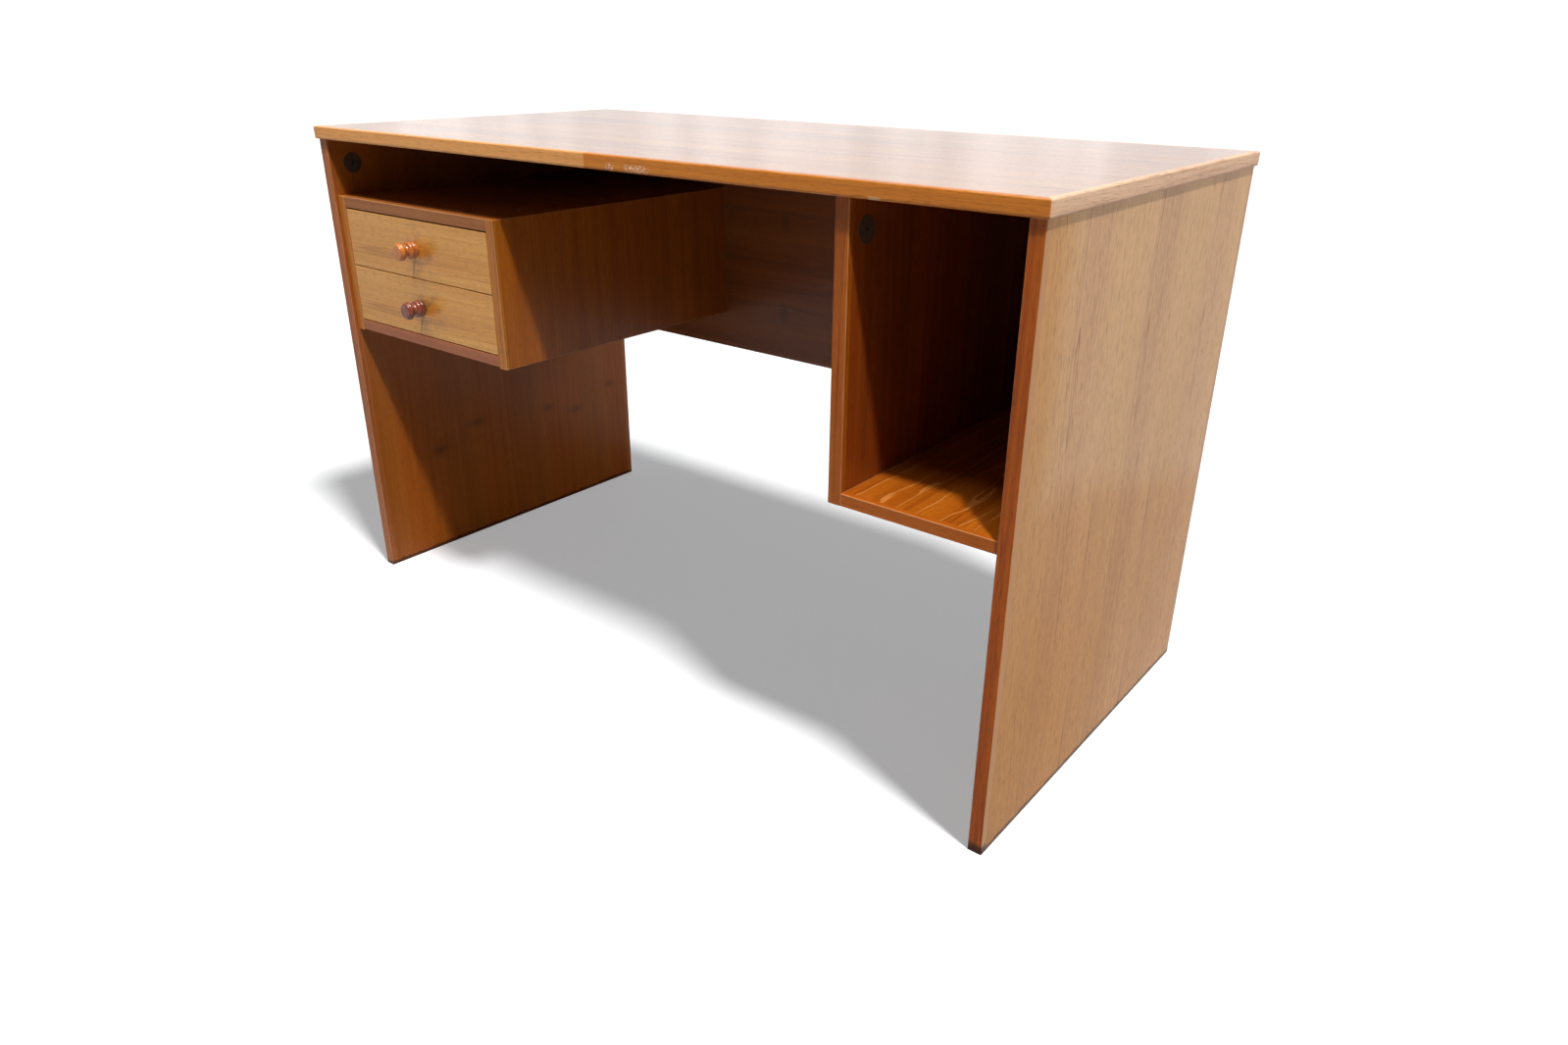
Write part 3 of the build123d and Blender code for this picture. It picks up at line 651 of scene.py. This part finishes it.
def plain_wood(name, grain, light, dark, seed, flecks=0.0, rough=0.5):
    """Close-grained hardwood or plywood with a thin dull seal."""
    finish, tree, shader, where = new_finish(name)
    where = shifted(tree, where, (seed, seed * 0.6, seed * 0.3))

    def cells(lengthways, crossways):
        return tuple(lengthways if axis == grain else crossways for axis in "xyz")

    broad = stretched_noise(tree, where, cells(2.0, 60.0), detail=3.0)
    lines = stretched_noise(tree, where, cells(12.0, 840.0), detail=2.0)
    tone = plus(tree, times(tree, broad, 0.6), times(tree, lines, 0.4))
    colour = ramp(tree, tone, (0.30, paint(*dark)), (0.70, paint(*light)))
    spots = smooth(tree, stretched_noise(tree, where, cells(60.0, 1080.0), detail=1.0), 0.62, 0.72)
    colour = blend_colour(tree, times(tree, spots, flecks), colour, paint(150, 104, 66))
    tree.links.new(colour, shader.inputs["Base Color"])
    tree.links.new(plus(tree, times(tree, broad, 0.15), rough - 0.07), shader.inputs["Roughness"])
    roughen(tree, shader, lines, 0.15, 0.0003)
    shader.inputs["Specular IOR Level"].default_value = 0.4
    return finish


beech_lengthways = plain_wood("drawer_side_beech", "y", (222, 188, 146), (198, 158, 114),
                              seed=1.0, flecks=0.5)
beech_across = plain_wood("drawer_back_beech", "x", (220, 186, 144), (196, 156, 112),
                          seed=2.0, flecks=0.5)
bottom_ply = plain_wood("drawer_bottom_birch", "x", (228, 204, 168), (206, 178, 138),
                        seed=3.0, rough=0.6)
for level in ("upper", "lower"):
    give(beech_lengthways, level + "_drawer_left_side", level + "_drawer_right_side")
    give(beech_across, level + "_drawer_back")
    give(bottom_ply, level + "_drawer_bottom")

# ---- Knobs -------------------------------------------------------------------------------------
# Turned cotton-reel knobs, each held by one screw from inside. The upper one is pale orange, the
# lower one a darker red; both are lacquered to a high gloss.


def turned_knob(name, light, middle, dark, seed):
    """Fine-grained turned wood under high gloss."""
    finish, tree, shader, where = new_finish(name)
    where = shifted(tree, where, (seed, seed * 0.6, seed * 0.3))
    flow = stretched_noise(tree, where, (70.0, 70.0, 20.0), detail=2.0)
    lines = stretched_noise(tree, where, (900.0, 900.0, 60.0), detail=3.0, roughness=0.6)
    tone = plus(tree, times(tree, flow, 0.6), times(tree, lines, 0.4))
    colour = ramp(tree, tone, (0.34, paint(*dark)), (0.5, paint(*middle)), (0.66, paint(*light)))
    tree.links.new(colour, shader.inputs["Base Color"])
    smear = stretched_noise(tree, where, (200.0, 200.0, 200.0), detail=2.0)
    tree.links.new(plus(tree, times(tree, smear, 0.15), 0.16), shader.inputs["Roughness"])
    roughen(tree, shader, lines, 0.08, 0.0002)
    shader.inputs["Coat Weight"].default_value = 0.8
    shader.inputs["Coat Roughness"].default_value = 0.08
    return finish


give(turned_knob("upper_knob_wood", (214, 138, 62), (190, 108, 42), (146, 74, 26), seed=4.0),
     "upper_drawer_knob")
give(turned_knob("lower_knob_wood", (156, 84, 58), (126, 60, 40), (84, 36, 24), seed=5.0),
     "lower_drawer_knob")

# ---- Runners -----------------------------------------------------------------------------------
# Hardwood strips screwed to the inside of the case, polished where the drawers slide on them.

runner_wood = plain_wood("runner_beech", "y", (206, 164, 116), (174, 128, 82),
                         seed=6.0, flecks=0.6, rough=0.42)
for level in ("upper", "lower"):
    give(runner_wood, level + "_left_runner", level + "_right_runner")

# ---- Dowels ------------------------------------------------------------------------------------
# Beech pegs with bevelled ends, glued across the joints; they show only when the desk is apart.

dowel_wood = plain_wood("dowel_beech", "x", (216, 180, 136), (186, 144, 100), seed=7.0)
give(dowel_wood, "back_panel_dowels", "shelf_dowels", "box_dowels")

# ---- Knock-down connectors ---------------------------------------------------------------------
# Round moulded housings of dark plastic pressed into the panels, each turned with a key to grip a
# steel bolt that hangs from the desktop.


def moulded_plastic():
    """Brown-black plastic with a fine grit from the mould."""
    finish, tree, shader, where = new_finish("connector_plastic")
    cloud = stretched_noise(tree, where, (160.0, 160.0, 160.0), detail=3.0)
    grit = stretched_noise(tree, where, (2400.0, 2400.0, 2400.0), detail=2.0)
    tree.links.new(ramp(tree, cloud, (0.35, paint(66, 50, 37)), (0.65, paint(84, 64, 48))),
                   shader.inputs["Base Color"])
    tree.links.new(plus(tree, times(tree, cloud, 0.2), 0.38), shader.inputs["Roughness"])
    roughen(tree, shader, grit, 0.2, 0.0002)
    return finish


give(moulded_plastic(), "connector_housings")

# ---- Bolts and screws --------------------------------------------------------------------------
# Zinc-plated steel, dulled, with a little tarnish in the slots.


def plated_steel():
    """Dull plating with the fine rings of turning."""
    finish, tree, shader, where = new_finish("plated_steel")
    tarnish = stretched_noise(tree, where, (420.0, 420.0, 420.0), detail=4.0, roughness=0.65)
    turning = stretched_noise(tree, where, (3000.0, 300.0, 3000.0), detail=2.0)
    tree.links.new(ramp(tree, tarnish, (0.35, paint(120, 108, 88)), (0.60, paint(176, 174, 168))),
                   shader.inputs["Base Color"])
    tree.links.new(plus(tree, times(tree, tarnish, 0.3), 0.22), shader.inputs["Roughness"])
    roughen(tree, shader, turning, 0.15, 0.0002)
    shader.inputs["Metallic"].default_value = 1.0
    return finish


give(plated_steel(), "connector_bolts", "drawer_box_screws", "back_panel_screws", "runner_screws",
     "upper_knob_screw", "lower_knob_screw")
